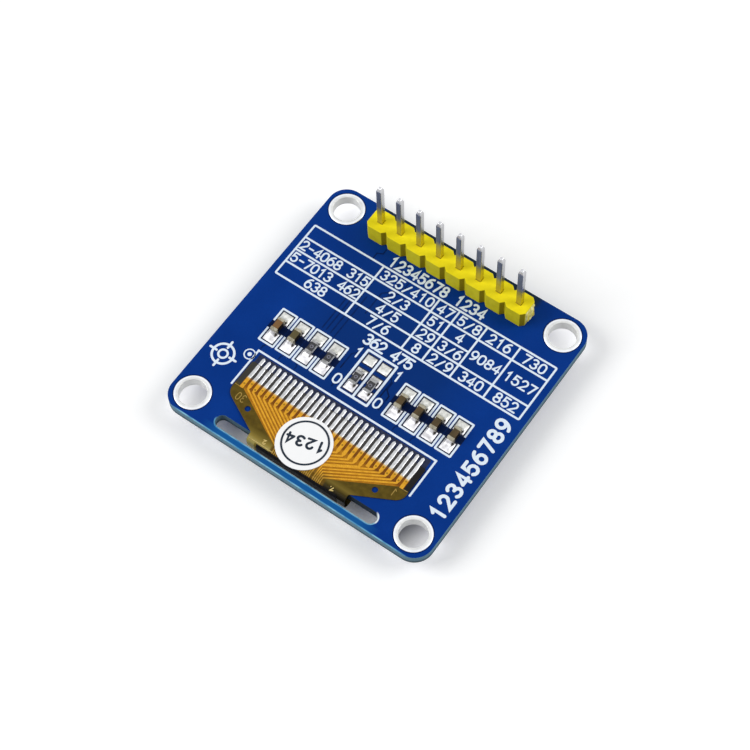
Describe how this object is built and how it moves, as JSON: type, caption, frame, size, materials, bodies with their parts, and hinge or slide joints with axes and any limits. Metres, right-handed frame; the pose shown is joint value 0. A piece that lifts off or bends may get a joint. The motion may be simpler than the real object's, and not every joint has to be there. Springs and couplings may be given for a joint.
{
  "type": "small display module",
  "caption": "Flat square circuit board with a pin header, printed table, chip parts and a folded flex cable to a glass display held under it.",
  "frame": {"origin": "on the resting plane, the display face, under the middle of the board", "axes": "+X along the pin row, +Y to the board edge that carries the pin row, +Z the way the pins point, away from the display face"},
  "size_m": [0.033, 0.0324, 0.0118],
  "materials": {
    "board_mask": "blue solder mask, semi-gloss",
    "yellow_plastic": "moulded, slightly glossy",
    "tinned_copper": "tinned, bright",
    "solder": "reflowed solder, glossy",
    "white_print": "screen-printed ink",
    "resistor_coat": "black overcoat",
    "flex_film": "amber polyimide film",
    "covered_copper": "copper under amber cover film",
    "black_coat": "black cover coat",
    "label_paper": "smooth white paper",
    "label_ink": "black print",
    "display_glass": "clear, with thin dark leads",
    "cover_glass": "frosted grey",
    "polarizer": "dark glossy film",
    "pixel_layer": "unlit dark pixels",
    "foam_tape": "black foam",
    "silicon": "ground silicon",
    "resin": "black sealing resin",
    "pin_metal": "tin-plated",
    "capacitor_ceramic": "tan ceramic",
    "alumina": "white alumina"
  },
  "bodies": {
    "root": {"circuit_board": "board_mask", "header_housing": "yellow_plastic", "header_pads": "tinned_copper", "header_solder": "solder", "board_print": "white_print", "chip_pads": "tinned_copper", "chip_solder": "solder", "resistor_coats": "resistor_coat", "flex_film": "flex_film", "flex_fingers": "tinned_copper", "flex_traces": "covered_copper", "flex_pads": "tinned_copper", "flex_coat": "black_coat", "round_label": "label_paper", "label_print": "label_ink", "display_glass": "display_glass", "display_cap": "cover_glass", "polarizer": "polarizer", "pixel_layer": "pixel_layer", "foam_tape": "foam_tape", "driver_chip": "silicon", "edge_resin": "resin", "mount_ring_1": "tinned_copper", "mount_ring_2": "tinned_copper", "mount_ring_3": "tinned_copper", "mount_ring_4": "tinned_copper", "header_pin_1": "pin_metal", "header_pin_2": "pin_metal", "header_pin_3": "pin_metal", "header_pin_4": "pin_metal", "header_pin_5": "pin_metal", "header_pin_6": "pin_metal", "header_pin_7": "pin_metal", "header_pin_8": "pin_metal", "capacitor_1": "capacitor_ceramic", "capacitor_2": "capacitor_ceramic", "capacitor_3": "capacitor_ceramic", "capacitor_4": "capacitor_ceramic", "capacitor_5": "capacitor_ceramic", "capacitor_6": "capacitor_ceramic", "capacitor_ends_1": "solder", "capacitor_ends_2": "solder", "capacitor_ends_3": "solder", "capacitor_ends_4": "solder", "capacitor_ends_5": "solder", "capacitor_ends_6": "solder", "resistor_1": "alumina", "resistor_2": "alumina", "resistor_3": "alumina", "resistor_4": "alumina", "resistor_ends_1": "solder", "resistor_ends_2": "solder", "resistor_ends_3": "solder", "resistor_ends_4": "solder"}
  },
  "joints": []
}
